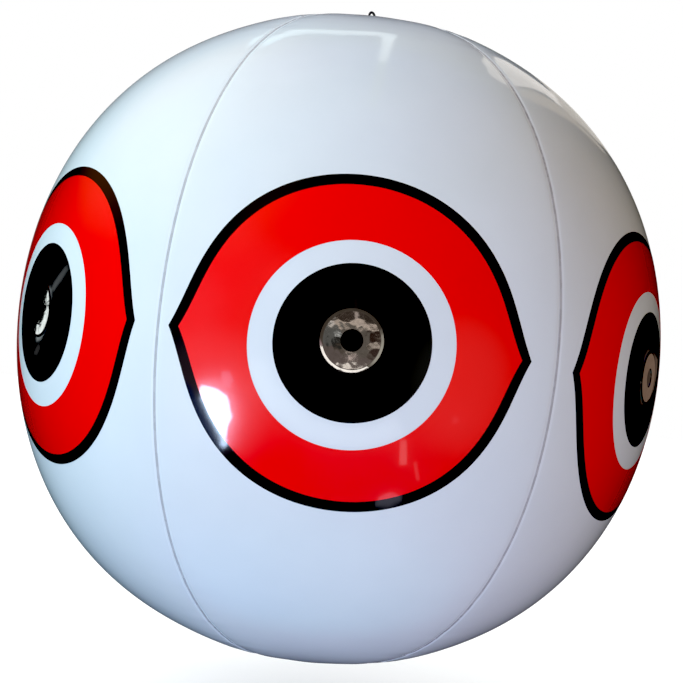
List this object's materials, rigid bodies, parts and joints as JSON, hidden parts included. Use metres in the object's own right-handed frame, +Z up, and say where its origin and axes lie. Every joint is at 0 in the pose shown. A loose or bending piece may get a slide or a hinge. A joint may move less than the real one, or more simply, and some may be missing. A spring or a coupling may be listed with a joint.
{
  "type": "bird scare balloon",
  "caption": "Inflatable white vinyl ball printed all round with red predator eyes, with mirror foil pupils, a hanging ring and a push-in air valve, hung to scare birds from crops.",
  "frame": {"origin": "point inside the top of the hanging ring where a cord bears", "axes": "+Z up along the ball's axis from valve to ring, -Y out through the middle of the first gore and its eye, +X to the viewer's right of that eye"},
  "size_m": [0.398, 0.3953, 0.412],
  "materials": {
    "white_vinyl": "gloss",
    "black_ink": "gloss",
    "red_ink": "gloss",
    "mirror_foil": "polished",
    "black_ring": "satin",
    "valve_vinyl": "satin"
  },
  "bodies": {
    "ring": {"hanging_ring": "black_ring"},
    "ball": {"gore_1": "white_vinyl", "gore_2": "white_vinyl", "gore_3": "white_vinyl", "gore_4": "white_vinyl", "gore_5": "white_vinyl", "gore_6": "white_vinyl", "eye_1_outline_print": "black_ink", "eye_1_red_print": "red_ink", "eye_1_pupil_print": "black_ink", "eye_1_foil_disc": "mirror_foil", "eye_2_outline_print": "black_ink", "eye_2_red_print": "red_ink", "eye_2_pupil_print": "black_ink", "eye_2_foil_disc": "mirror_foil", "eye_3_outline_print": "black_ink", "eye_3_red_print": "red_ink", "eye_3_pupil_print": "black_ink", "eye_3_foil_disc": "mirror_foil", "eye_4_outline_print": "black_ink", "eye_4_red_print": "red_ink", "eye_4_pupil_print": "black_ink", "eye_4_foil_disc": "mirror_foil", "eye_5_outline_print": "black_ink", "eye_5_red_print": "red_ink", "eye_5_pupil_print": "black_ink", "eye_5_foil_disc": "mirror_foil", "eye_6_outline_print": "black_ink", "eye_6_red_print": "red_ink", "eye_6_pupil_print": "black_ink", "eye_6_foil_disc": "mirror_foil", "top_cap": "white_vinyl", "bottom_cap": "white_vinyl", "hanging_tab": "white_vinyl", "valve_flange": "valve_vinyl"},
    "stem": {"valve_stem": "valve_vinyl", "plug_strap": "valve_vinyl"},
    "plug": {"valve_plug": "valve_vinyl"},
    "flap": {"valve_flap": "valve_vinyl"}
  },
  "joints": [
    {"name": "ball_swing", "type": "hinge", "parent": "ring", "child": "ball", "pos_m": [0, 0, -0.0052], "axis": [0.6428, 0.766, 0], "range_deg": [-85, 85]},
    {"name": "stem_slide", "type": "slide", "parent": "ball", "child": "stem", "axis": [0, 0, -1], "range_m": [0, 0.0095]},
    {"name": "plug_slide", "type": "slide", "parent": "stem", "child": "plug", "axis": [0, 0, -1], "range_m": [0, 0.008]},
    {"name": "flap_hinge", "type": "hinge", "parent": "stem", "child": "flap", "pos_m": [-0.0048, 0, -0.3896], "axis": [0, -1, 0], "range_deg": [0, 60]}
  ]
}
